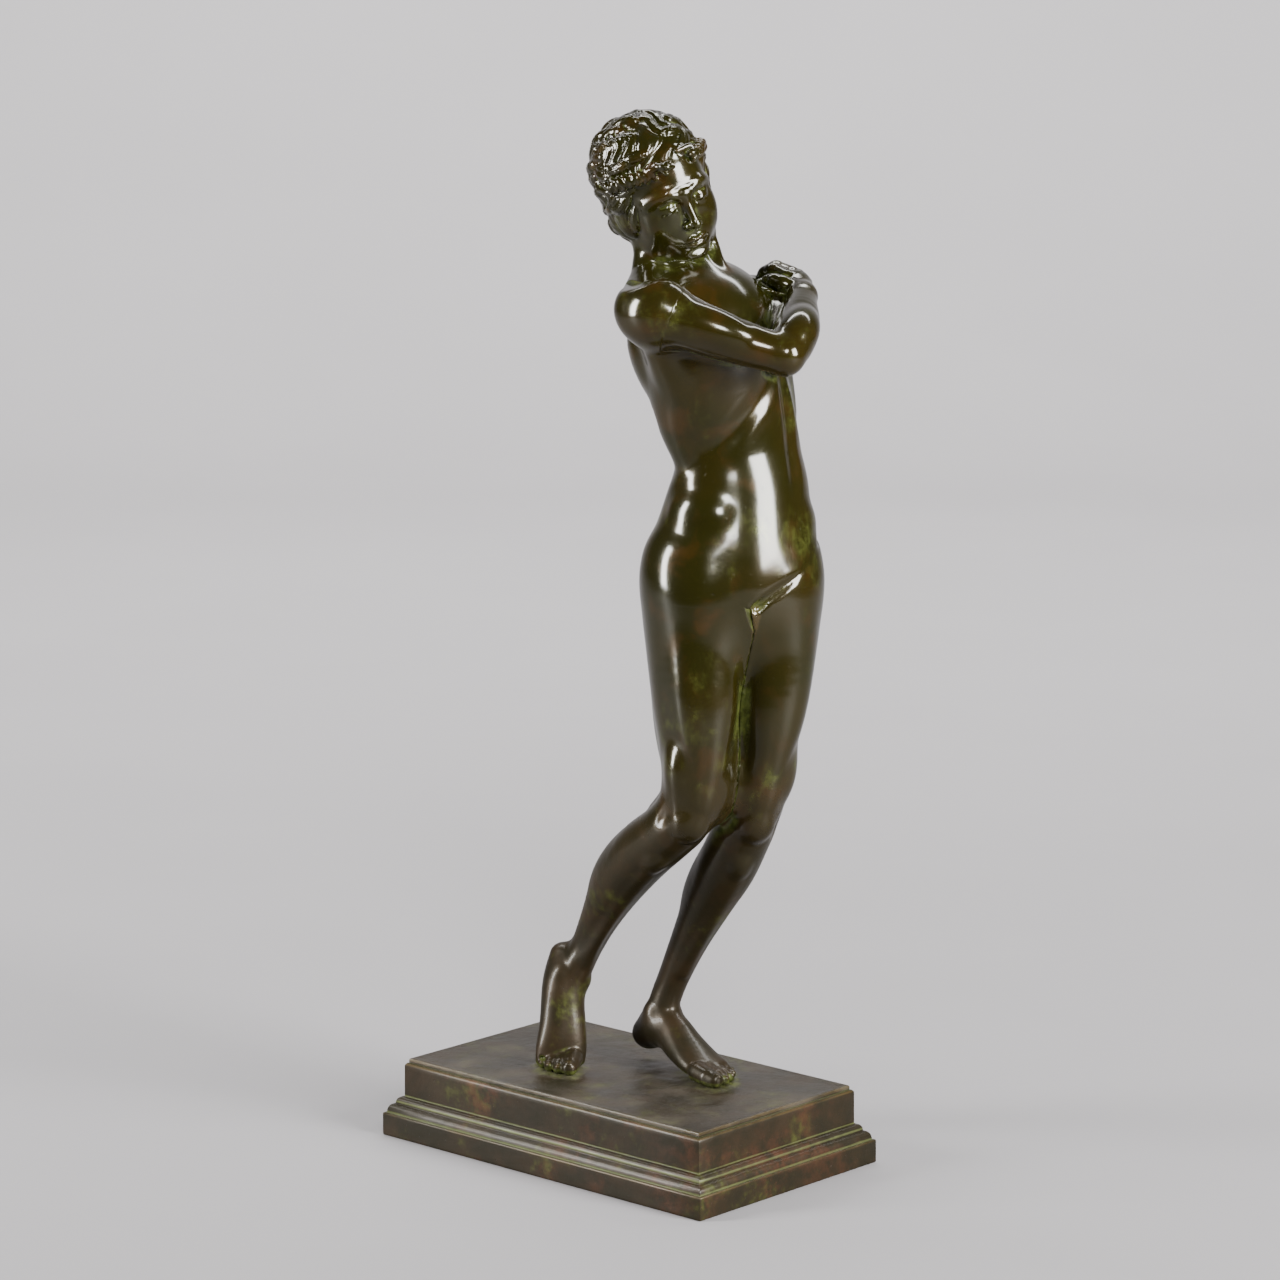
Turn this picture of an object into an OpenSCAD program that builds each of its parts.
// Bronze statuette of a walking figure with folded arms on a moulded rectangular plinth.
// The figure is a set of hollow castings joined by sleeves and cross pins and bolted to the plinth.
// Origin: centre of the plinth's underside. +Z up, +X along the plinth's long side, the way it walks.

/* [Plinth] */
// Length of the plinth along X
plinth_l = 220; // [180:1:280]
// Width of the plinth along Y
plinth_w = 135; // [115:1:180]
// Height of the plinth without the ground plate
plinth_h = 38.5; // [32:0.5:50]
// Height of the plain lower face
foot_h = 12; // [9:0.5:14]
// Width of the moulded step, from the lower face to the upper block
step_w = 8; // [5:0.5:12]
// Height of the moulded step
step_h = 8.5; // [7:0.5:11]
// Wall thickness of the plinth casting
plinth_wall = 5; // [4:0.5:7]

/* [Ground plate] */
// Thickness of the ground plate that the figure stands on
ground_t = 2.5; // [2:0.25:4]
// Distance of the ground plate's edge in from the upper block's face
ground_inset = 1.8; // [1:0.1:4]

/* [Figure] */
// Height of the figure, from the ground plate to the crown
figure_h = 490; // [400:1:600]
// Wall thickness of the figure's castings
figure_wall = 3; // [2.5:0.25:3.5]

/* [Joints] */
// Radius of the cross pins
pin_r = 1.5; // [1:0.1:2]
// Wall thickness of the joint sleeves
sleeve_wall = 2; // [1.5:0.25:2.5]
// Length of each joint sleeve on either side of its joint
sleeve_reach = 10; // [8:0.5:12]
// Radial clearance of pins, sleeves and dowels
fit_gap = 0.15; // [0.1:0.05:0.3]
// Gap between castings that lie against each other
part_gap = 0.2; // [0.1:0.05:0.4]

/* [Foot bolts] */
// Radius of the studs under the feet
stud_r = 2.5; // [2:0.25:3]
// Across-corners radius of the hexagon nuts
nut_r = 4.6; // [4.6:0.1:6]
// Height of the nuts
nut_h = 4; // [3:0.5:5]
// Radius of the washers
washer_r = 6; // [6:0.5:8]
// Thickness of the washers
washer_t = 1; // [0.8:0.1:1.5]

/* [Hidden] */

plinth_brown = [0.30, 0.22, 0.15];
bronze = [0.26, 0.20, 0.10];
brass = [0.72, 0.58, 0.30];
steel = [0.62, 0.62, 0.64];
sides = 20;        // facets round a casting
finger_sides = 10; // facets round a finger
slice = 0.2;       // thickness of one ring
far = 400;         // half the size of a cutting block
eps = 0.01;

ground_z = plinth_h + ground_t;
k = figure_h / 490; // the figure's points below are for a height of 490

// ---- Points of the figure, in mm above the middle of the ground plate, for a height of 490 ----
// A ring is [x, y, z, facing, half width, half depth]. Facing turns from 0 at -Y to 90 at +X.
trunk = [
    [49, 23, 238, 60, 42, 32], [49, 23, 252, 60, 44, 37], [49, 23, 264, 61, 42.5, 37],
    [49, 25, 278, 64, 40.5, 35], [49, 28, 292, 70, 38.5, 32.5], [49, 30, 304, 78, 37, 30],
    [47, 31, 319, 86, 35.5, 27.5], [44, 31, 336, 92, 37.5, 29], [40, 28, 352, 97, 40.5, 32.5],
    [35, 25, 367, 100, 43, 36], [31, 23, 380, 100, 44, 36], [27, 21, 392, 100, 42, 30],
    [24, 19, 402, 100, 30, 20]];
yoke = [
    [32, -26, 395, 100, 11, 13], [29, -12, 396, 100, 16, 18], [26, 8, 397, 100, 18, 20],
    [24, 26, 397, 100, 18, 20], [20, 46, 395, 100, 16, 18], [15, 66, 391, 100, 11, 13]];
neck = [
    [26, 20, 396, 90, 21, 18], [24, 19, 406, 85, 16, 16], [22, 17, 414, 80, 14, 15],
    [19, 13, 424, 75, 13, 14.5], [15, 8, 438, 70, 13, 15], [12, 6, 446, 70, 12, 14]];
right_upper_arm = [
    [34, -27, 397, 10, 14, 13.5], [43, -24, 396, 10, 13.5, 14], [56, -17, 391, 10, 12.5, 13.5],
    [70, -8, 385, 10, 11.5, 12.5], [84, 2, 379, 10, 10.5, 11], [94, 8, 375, 10, 9.5, 9.5]];
right_forearm = [
    [96, 10, 375, 80, 9, 9.5], [91, 20, 382, 80, 10.5, 11], [81, 36, 390, 80, 10, 10.5],
    [72, 48, 396, 80, 8, 8.5], [66, 57, 399, 80, 7, 7.5]];
left_upper_arm = [
    [16, 67, 391, 170, 12, 12.5], [26, 64, 391, 170, 12.5, 12.5], [40, 56, 387, 170, 11.5, 12],
    [54, 46, 382, 170, 11, 12], [66, 35, 375, 170, 10, 10.5], [73, 29, 372, 170, 9, 9]];
left_forearm = [
    [74, 29, 372, 80, 9, 9], [69, 36, 379, 80, 9.5, 9.5], [61, 46, 388, 80, 8.5, 8.5],
    [55, 53, 394, 80, 7, 7]];
right_leg_rings = [
    [39, 4, 262, 60, 23, 33], [41, 4, 248, 60, 24, 33], [43, 2, 224, 60, 23.5, 28],
    [47, -1, 198, 60, 21, 23.5], [50, -3, 176, 60, 18.5, 20], [50, -6, 158, 60, 16.5, 18],
    [47, -8, 147, 60, 16, 17], [35, -8, 134, 60, 15, 16], [14, -5, 119, 60, 15.5, 16.5],
    [-5, -3, 98, 60, 13.5, 14], [-19, -1, 77, 60, 10, 11], [-27, -1, 61, 60, 9, 10],
    [-33, -5, 48, 60, 9.5, 11], [-35, -9, 36, 60, 10, 9]];
left_leg_rings = [
    [61, 41, 262, 60, 21, 30], [61, 41, 248, 60, 22.5, 30], [62, 38, 222, 60, 22.5, 27],
    [63, 33, 190, 60, 20, 22], [63, 28, 162, 60, 17, 18.5], [62, 25, 146, 60, 16, 17],
    [57, 25, 132, 60, 15.5, 16.5], [44, 27, 111, 60, 15.5, 16.5], [33, 28, 94, 60, 13.5, 14.5],
    [17, 29, 67, 60, 10.5, 11], [6, 28, 44, 60, 9, 10], [0, 27, 32, 60, 9, 10.5], [1, 26, 24, 60, 8, 10]];
// A foot's rings have their half height first and their half width second
right_foot_rings = [
    [-45, -1, 58, 42, 5, 6], [-43, -4, 48, 42, 9, 9.5], [-38, -9, 34, 42, 10.5, 9.5],
    [-34, -13, 22, 42, 12, 8.5], [-32, -16, 11, 42, 13, 7.5], [-30, -19, 3, 42, 13, 6.5]];
left_foot_rings = [
    [-15, 26, 14, 165, 5, 6], [-9, 26, 14, 165, 8, 9], [5, 25, 17, 165, 11, 9.5],
    [18, 22, 13, 165, 9.5, 10.5], [32, 18, 8, 165, 7, 12], [43, 16, 5, 165, 5, 12.5]];
// A finger or toe is a chain of [x, y, z, radius]
right_toes = [
    [[-22, -18, 5, 5], [-18, -23, 4.5, 4.5], [-16, -26, 4, 4]],
    [[-28, -20, 4.5, 3.8], [-23, -26, 4, 3.4]],
    [[-33, -20, 4, 3.6], [-29, -26, 3.6, 3.2]],
    [[-38, -19, 4, 3.4], [-35, -24, 3.4, 3]],
    [[-42, -16, 3.6, 3.2], [-41, -20, 3, 2.8]]];
left_toes = [
    [[43, 7, 5, 5], [51, 6, 4.5, 4.6], [55, 6, 4, 4]],
    [[45, 13, 4.5, 3.8], [54, 13, 4, 3.4]],
    [[45, 18, 4, 3.6], [52, 19, 3.6, 3.2]],
    [[43, 23, 4, 3.4], [48, 24, 3.4, 3]],
    [[39, 27, 3.6, 3.2], [43, 29, 3, 2.8]]];
right_palm = [[65, 59, 400, 7.5], [57, 64, 404, 8.5], [48, 67, 404, 8]];
right_fingers = [
    [[52, 60, 409, 3.6], [42, 61, 409, 3.4], [34, 62, 405, 3]],
    [[50, 66, 410, 3.7], [39, 67, 410, 3.5], [31, 68, 405, 3]],
    [[49, 72, 408, 3.6], [39, 73, 407, 3.3], [32, 74, 402, 2.9]],
    [[50, 77, 403, 3.3], [42, 79, 402, 3], [36, 79, 398, 2.6]],
    [[62, 56, 403, 3.8], [56, 52, 405, 3.5], [49, 52, 406, 3]]];
left_palm = [[53, 55, 393, 7], [48, 58, 396, 7.5], [44, 61, 397, 6]];
left_fingers = [
    [[50, 52, 402, 3.2], [43, 53, 403, 3], [40, 55, 398, 2.8]],
    [[47, 57, 403, 3.2], [40, 59, 402, 3], [38, 60, 397, 2.8]],
    [[56, 49, 397, 3.3], [50, 46, 400, 3]]];

// Joints: [point, direction from the torso outward], for a height of 490
neck_joint = [[21, 16, 416], [-0.22, -0.25, 0.94]];
right_shoulder_joint = [[49, -21, 393.5], [0.80, 0.48, -0.36]];
left_shoulder_joint = [[33, 61, 389], [0.74, -0.60, -0.3]];
hip_z = 251;
right_hip_joint = [[41, 4, hip_z], [0, 0, -1]];
left_hip_joint = [[62, 42, hip_z], [0, 0, -1]];
right_wrist_joint = [[67, 55.5, 398.5], [-0.55, 0.78, 0.28]];
left_wrist_joint = [[57.3, 53.5, 394.4], [-0.58, 0.66, 0.48]];
legs_parting = [[52, 21, 200], [0.42, 0.9, 0]]; // plane between the thighs, pointing to the left leg
knees_z = 128; // the legs stand apart below this
right_stud_at = [-31, -17];
left_stud_at = [32, 18];
right_stud_in = 13;
left_stud_in = 9;

// The head has its own frame: -Y is the way it looks, and its middle is the origin
head_at = [14, 6, 455];
head_turn = [12, -21, 70];
skull = [[0, 3, 5], [25, 29, 27]];
face_oval = [[0, -9, -4], [21, 21, 29]];
jaw = [[[0, -24, -31], 7], [[12, -6, -22], 7], [[-12, -6, -22], 7], [[0, -10, -14], 18]];
nose = [[[0, -31.5, 2], 2], [[0, -34.5, -9], 2.6], [[0, -29, -10], 5]];
hair = [[[0, 5, 9], [28.5, 31, 26]], [[0, 20, -12], [18, 12, 14]], [[21, 4, -8], [9, 14, 13]],
    [[-21, 4, -8], [9, 14, 13]], [[0, -13, 20], [22, 15, 11]]];

// ---- Geometry helpers ----
function point(r) = [r[0] * k, r[1] * k, r[2] * k + ground_z];
function unit(v) = v / norm(v);
function heading(rings, i) =
    unit(point(rings[min(i + 1, len(rings) - 1)]) - point(rings[max(i - 1, 0)]));
function forward(facing) = [sin(facing), -cos(facing), 0];
function columns(a, b, c, p) =
    [[a[0], b[0], c[0], p[0]], [a[1], b[1], c[1], p[1]], [a[2], b[2], c[2], p[2]], [0, 0, 0, 1]];
// The frame at a point whose Z axis runs along dir and whose X axis lies across the facing
function frame(p, dir, facing) =
    let (c = unit(dir), a = unit(cross(forward(facing), c))) columns(a, cross(c, a), c, p);

module ring(r, dir, less) {
    multmatrix(frame(point(r), dir, r[3]))
        scale([r[4] * k - less, r[5] * k - less, 1])
            cylinder(r = 1, h = slice, center = true, $fn = sides);
}

// One smooth form through its rings. less takes a wall thickness off all round, and may be negative.
module form(rings, less = 0) {
    for (i = [0 : len(rings) - 2]) hull() {
        ring(rings[i], heading(rings, i), less);
        ring(rings[i + 1], heading(rings, i + 1), less);
    }
}

module ball(p, r) {
    translate(point(p)) sphere(r = r, $fn = sides);
}

// A finger or toe
module digit(chain, grow = 0) {
    for (i = [0 : len(chain) - 2]) hull() for (c = [chain[i], chain[i + 1]])
        translate(point(c)) sphere(r = c[3] * k + grow, $fn = finger_sides);
}

// The space beyond a joint's plane, on the side its direction points to
module beyond(joint, back = 0) {
    multmatrix(frame(point(joint[0]), joint[1], 10)) translate([-far, -far, -back])
        cube(2 * far);
}

// Places its children at a joint, with Z along the joint's direction
module at_joint(joint, facing = 10) {
    multmatrix(frame(point(joint[0]), joint[1], facing)) children();
}

// ---- Whole forms, before they are cut into castings ----
module trunk_form(less = 0) {
    form(trunk, less);
    form(yoke, less);
    form(neck, less);
}

module right_arm_form(less = 0) {
    form(right_upper_arm, less);
    ball(right_forearm[0], 9.5 * k - less);
    form(right_forearm, less);
}

module left_arm_form() {
    form(left_upper_arm);
    ball(left_forearm[0], 9 * k);
    difference() {
        form(left_forearm);
        beyond(left_wrist_joint);
    }
}

module torso_form() {
    trunk_form();
    difference() {
        union() {
            form(right_upper_arm);
            ball(right_upper_arm[0], 13.5 * k);
        }
        beyond(right_shoulder_joint);
    }
    difference() {
        union() {
            form(left_upper_arm);
            ball(left_upper_arm[0], 12.5 * k);
        }
        beyond(left_shoulder_joint);
    }
}

module oval(o, less = 0) {
    translate(o[0] * k) scale(o[1] * k - [less, less, less]) sphere(r = 1, $fn = sides);
}

module head_form() {
    translate(point(head_at)) rotate(head_turn) {
        oval(skull);
        oval(face_oval);
        hull() for (j = jaw) translate(j[0] * k) sphere(r = j[1] * k, $fn = 16);
        hull() for (n = nose) translate(n[0] * k) sphere(r = n[1] * k, $fn = 10);
        for (h = hair) oval(h);
    }
    form(neck);
}

module hand_form(palm, fingers, grow = 0) {
    digit(palm, grow);
    for (f = fingers) digit(f, grow);
}

// A leg from the hip's parting down to its toes
module leg_form(leg_rings, foot_rings, toes) {
    form(leg_rings);
    form(foot_rings);
    for (t = toes) digit(t);
}

// ---- Joint hardware ----
// Half the inner width of a hollow casting where a sleeve sits
function bore_r(rings, i) = min(rings[i][4], rings[i][5]) * k - figure_wall;
neck_bore = bore_r(neck, 2);
right_shoulder_bore = bore_r(right_upper_arm, 2);
left_shoulder_bore = bore_r(left_upper_arm, 2);
right_hip_bore = bore_r(right_leg_rings, 1) - 2;
left_hip_bore = bore_r(left_leg_rings, 1) - 2;
wrist_r = 2.4;
wrist_reach = 4;
passage = 8;         // how far a core passage runs on past its socket into a limb
neck_passage = 18;   // and up into the skull

// The socket that a sleeve sits in on both sides of a joint, and the core passage that runs on from it
// by back into the torso's side and by ahead into the other side
module socket(joint, bore, back = 0, ahead = 0) {
    at_joint(joint) {
        cylinder(r = bore, h = 2 * (sleeve_reach + fit_gap), center = true, $fn = 32);
        translate([0, 0, -sleeve_reach - back])
            cylinder(r = bore - sleeve_wall - fit_gap, h = 2 * sleeve_reach + back + ahead, $fn = 24);
    }
}

// The metal left solid round a joint for its socket
module collar(joint) {
    at_joint(joint) cube([2 * far, 2 * far, 2 * (sleeve_reach + figure_wall)], center = true);
}

module sleeve(joint, bore) {
    difference() {
        at_joint(joint) difference() {
            cylinder(r = bore - fit_gap, h = 2 * sleeve_reach, center = true, $fn = 48);
            cylinder(r = bore - fit_gap - sleeve_wall, h = 2 * sleeve_reach + 1, center = true, $fn = 48);
        }
        pin_pair(joint, bore, fit_gap);
    }
}

// Two cross pins, one on each side of the joint. Their ends stop inside the casting's wall.
module pin_pair(joint, bore, grow = 0) {
    at_joint(joint) for (side = [-1, 1]) translate([0, 0, side * sleeve_reach / 2])
        rotate([0, 90, side > 0 ? 0 : 90])
            cylinder(r = pin_r + grow, h = 2 * (bore + figure_wall / 2 + grow), center = true, $fn = 24);
}

module wrist_dowel(joint, grow = 0) {
    at_joint(joint) cylinder(r = wrist_r + grow, h = 2 * (wrist_reach + grow), center = true, $fn = 24);
}

module stud_hole(at, up) {
    translate([at[0] * k, at[1] * k, ground_z - 1])
        cylinder(r = stud_r + fit_gap, h = up * k + 1 + fit_gap, $fn = 24);
}

module stud(at, up) {
    low = plinth_h - plinth_wall - washer_t - nut_h - 2;
    translate([at[0] * k, at[1] * k, low]) cylinder(r = stud_r, h = ground_z + up * k - low, $fn = 48);
}

module washer(at) {
    translate([at[0] * k, at[1] * k, plinth_h - plinth_wall - washer_t]) difference() {
        cylinder(r = washer_r, h = washer_t, $fn = 48);
        translate([0, 0, -1]) cylinder(r = stud_r + fit_gap, h = washer_t + 2, $fn = 48);
    }
}

module nut(at) {
    translate([at[0] * k, at[1] * k, plinth_h - plinth_wall - washer_t - nut_h]) difference() {
        cylinder(r = nut_r, h = nut_h, $fn = 6);
        translate([0, 0, -1]) cylinder(r = stud_r + eps, h = nut_h + 2, $fn = 48);
    }
}

module plate_holes() {
    for (at = [right_stud_at, left_stud_at]) translate([at[0] * k, at[1] * k, -1])
        cylinder(r = stud_r + fit_gap, h = ground_z + 2, $fn = 48);
}

// ---- Plinth ----
quirk = 0.8;
cove_r = step_w * 0.4;
ovolo_r = step_w - cove_r - quirk;
cove_z = foot_h + step_h - cove_r;
ovolo_z = cove_z - ovolo_r;
arris = 0.8;
arc = [0 : 15 : 90];
// Each point is [distance in from the lower face, height]
plinth_profile = concat(
    [[0, 0], [0, foot_h], [quirk, foot_h + quirk]],
    [for (a = arc) [quirk + ovolo_r * (1 - cos(a)), ovolo_z + ovolo_r * sin(a)]],
    [for (a = arc) [step_w - cove_r * cos(a), cove_z + cove_r * sin(a)]],
    [[step_w, plinth_h - arris], [step_w + arris, plinth_h]]);
ground_profile = [
    [0, 0], [0, ground_t * 0.6], [0.3, ground_t * 0.9], [0.7, ground_t]];

// A block whose four sides follow a profile, mitred at the corners
module moulded_block(l, w, profile) {
    n = len(profile);
    points = [for (p = profile, c = [[-1, -1], [1, -1], [1, 1], [-1, 1]])
        [c[0] * (l / 2 - p[0]), c[1] * (w / 2 - p[0]), p[1]]];
    walls = [for (i = [0 : n - 2], j = [0 : 3])
        [4 * i + j, 4 * i + 4 + j, 4 * i + 4 + (j + 1) % 4, 4 * i + (j + 1) % 4]];
    polyhedron(points, concat([[0, 1, 2, 3]], walls,
        [[4 * n - 1, 4 * n - 2, 4 * n - 3, 4 * n - 4]]), convexity = 4);
}

module plinth() {
    color(plinth_brown) difference() {
        moulded_block(plinth_l, plinth_w, plinth_profile);
        translate([0, 0, foot_h / 2 - 1]) cube([plinth_l - 2 * plinth_wall,
            plinth_w - 2 * plinth_wall, foot_h + 2], center = true);
        translate([0, 0, (plinth_h - plinth_wall) / 2]) cube([plinth_l - 2 * (step_w + plinth_wall),
            plinth_w - 2 * (step_w + plinth_wall), plinth_h - plinth_wall], center = true);
        plate_holes();
    }
}

module ground_plate() {
    inset = 2 * (step_w + ground_inset);
    color(bronze) difference() {
        translate([0, 0, plinth_h])
            moulded_block(plinth_l - inset, plinth_w - inset, ground_profile);
        plate_holes();
    }
}

// ---- Castings of the figure ----
module torso() {
    color(bronze) difference() {
        torso_form();
        difference() {
            form(trunk, figure_wall);
            collar(right_hip_joint);
            collar(neck_joint);
        }
        beyond(neck_joint);
        beyond(right_hip_joint);
        socket(neck_joint, neck_bore, back = passage);
        socket(right_shoulder_joint, right_shoulder_bore);
        socket(left_shoulder_joint, left_shoulder_bore);
        socket(right_hip_joint, right_hip_bore, back = passage);
        socket(left_hip_joint, left_hip_bore, back = passage);
        pin_pair(neck_joint, neck_bore, fit_gap);
        pin_pair(right_shoulder_joint, right_shoulder_bore, fit_gap);
        pin_pair(left_shoulder_joint, left_shoulder_bore, fit_gap);
        pin_pair(right_hip_joint, right_hip_bore, fit_gap);
        pin_pair(left_hip_joint, left_hip_bore, fit_gap);
    }
}

module head() {
    color(bronze) difference() {
        intersection() {
            head_form();
            beyond(neck_joint);
        }
        translate(point(head_at)) rotate(head_turn) oval(skull, 1.5 * figure_wall);
        socket(neck_joint, neck_bore, ahead = neck_passage);
        pin_pair(neck_joint, neck_bore, fit_gap);
    }
}

module right_arm() {
    color(bronze) difference() {
        intersection() {
            right_arm_form();
            beyond(right_shoulder_joint);
        }
        difference() {
            right_arm_form(figure_wall);
            trunk_form(-part_gap - figure_wall);
            collar(right_shoulder_joint);
            beyond(right_wrist_joint, wrist_reach + figure_wall);
        }
        socket(right_shoulder_joint, right_shoulder_bore, ahead = passage);
        trunk_form(-part_gap);
        beyond(right_wrist_joint);
        pin_pair(right_shoulder_joint, right_shoulder_bore, fit_gap);
        wrist_dowel(right_wrist_joint, fit_gap);
    }
}

module left_arm() {
    color(bronze) difference() {
        intersection() {
            left_arm_form();
            beyond(left_shoulder_joint);
        }
        socket(left_shoulder_joint, left_shoulder_bore);
        trunk_form(-part_gap);
        right_arm_form(-part_gap);
        pin_pair(left_shoulder_joint, left_shoulder_bore, fit_gap);
        wrist_dowel(left_wrist_joint, fit_gap);
    }
}

module right_hand() {
    color(bronze) difference() {
        intersection() {
            union() {
                hand_form(right_palm, right_fingers);
                form(right_forearm);
            }
            beyond(right_wrist_joint);
        }
        trunk_form(-part_gap);
        wrist_dowel(right_wrist_joint, fit_gap);
    }
}

module left_hand() {
    color(bronze) difference() {
        intersection() {
            union() {
                hand_form(left_palm, left_fingers);
                form(left_forearm);
            }
            beyond(left_wrist_joint);
        }
        trunk_form(-part_gap);
        form(left_upper_arm, -part_gap);
        right_arm_form(-part_gap);
        hand_form(right_palm, right_fingers, part_gap);
        wrist_dowel(left_wrist_joint, fit_gap);
    }
}

module right_leg() {
    color(bronze) difference() {
        intersection() {
            leg_form(right_leg_rings, right_foot_rings, right_toes);
            beyond(right_hip_joint);
        }
        difference() {
            form(right_leg_rings, figure_wall);
            collar(right_hip_joint);
            parting(1, figure_wall);
        }
        socket(right_hip_joint, right_hip_bore, ahead = passage);
        parting(1, part_gap / 2);
        below_ground();
        pin_pair(right_hip_joint, right_hip_bore, fit_gap);
        stud_hole(right_stud_at, right_stud_in);
    }
}

module left_leg() {
    color(bronze) difference() {
        intersection() {
            leg_form(left_leg_rings, left_foot_rings, left_toes);
            beyond(left_hip_joint);
        }
        difference() {
            form(left_leg_rings, figure_wall);
            collar(left_hip_joint);
            parting(-1, figure_wall);
        }
        socket(left_hip_joint, left_hip_bore, ahead = passage);
        parting(-1, part_gap / 2);
        below_ground();
        pin_pair(left_hip_joint, left_hip_bore, fit_gap);
        stud_hole(left_stud_at, left_stud_in);
    }
}

// The left leg's side of the parting plane, or with side = -1 the right leg's, down to the knees
module parting(side, back) {
    intersection() {
        beyond([legs_parting[0], side * legs_parting[1]], back);
        translate([-far, -far, ground_z + knees_z * k]) cube(2 * far);
    }
}

module below_ground() {
    translate([-far, -far, ground_z - 2 * far]) cube(2 * far);
}

// ---- Joint pieces ----
module neck_sleeve() { color(brass) sleeve(neck_joint, neck_bore); }
module right_shoulder_sleeve() { color(brass) sleeve(right_shoulder_joint, right_shoulder_bore); }
module left_shoulder_sleeve() { color(brass) sleeve(left_shoulder_joint, left_shoulder_bore); }
module right_hip_sleeve() { color(brass) sleeve(right_hip_joint, right_hip_bore); }
module left_hip_sleeve() { color(brass) sleeve(left_hip_joint, left_hip_bore); }

module neck_pins() { color(brass) pin_pair(neck_joint, neck_bore); }
module right_shoulder_pins() { color(brass) pin_pair(right_shoulder_joint, right_shoulder_bore); }
module left_shoulder_pins() { color(brass) pin_pair(left_shoulder_joint, left_shoulder_bore); }
module right_hip_pins() { color(brass) pin_pair(right_hip_joint, right_hip_bore); }
module left_hip_pins() { color(brass) pin_pair(left_hip_joint, left_hip_bore); }

module right_wrist_dowel() { color(brass) wrist_dowel(right_wrist_joint); }
module left_wrist_dowel() { color(brass) wrist_dowel(left_wrist_joint); }

module right_foot_stud() { color(steel) stud(right_stud_at, right_stud_in); }
module left_foot_stud() { color(steel) stud(left_stud_at, left_stud_in); }
module right_foot_washer() { color(steel) washer(right_stud_at); }
module left_foot_washer() { color(steel) washer(left_stud_at); }
module right_foot_nut() { color(steel) nut(right_stud_at); }
module left_foot_nut() { color(steel) nut(left_stud_at); }

plinth();
ground_plate();
torso();
head();
right_arm();
left_arm();
right_hand();
left_hand();
right_leg();
left_leg();
neck_sleeve();
right_shoulder_sleeve();
left_shoulder_sleeve();
right_hip_sleeve();
left_hip_sleeve();
neck_pins();
right_shoulder_pins();
left_shoulder_pins();
right_hip_pins();
left_hip_pins();
right_wrist_dowel();
left_wrist_dowel();
right_foot_stud();
left_foot_stud();
right_foot_washer();
left_foot_washer();
right_foot_nut();
left_foot_nut();
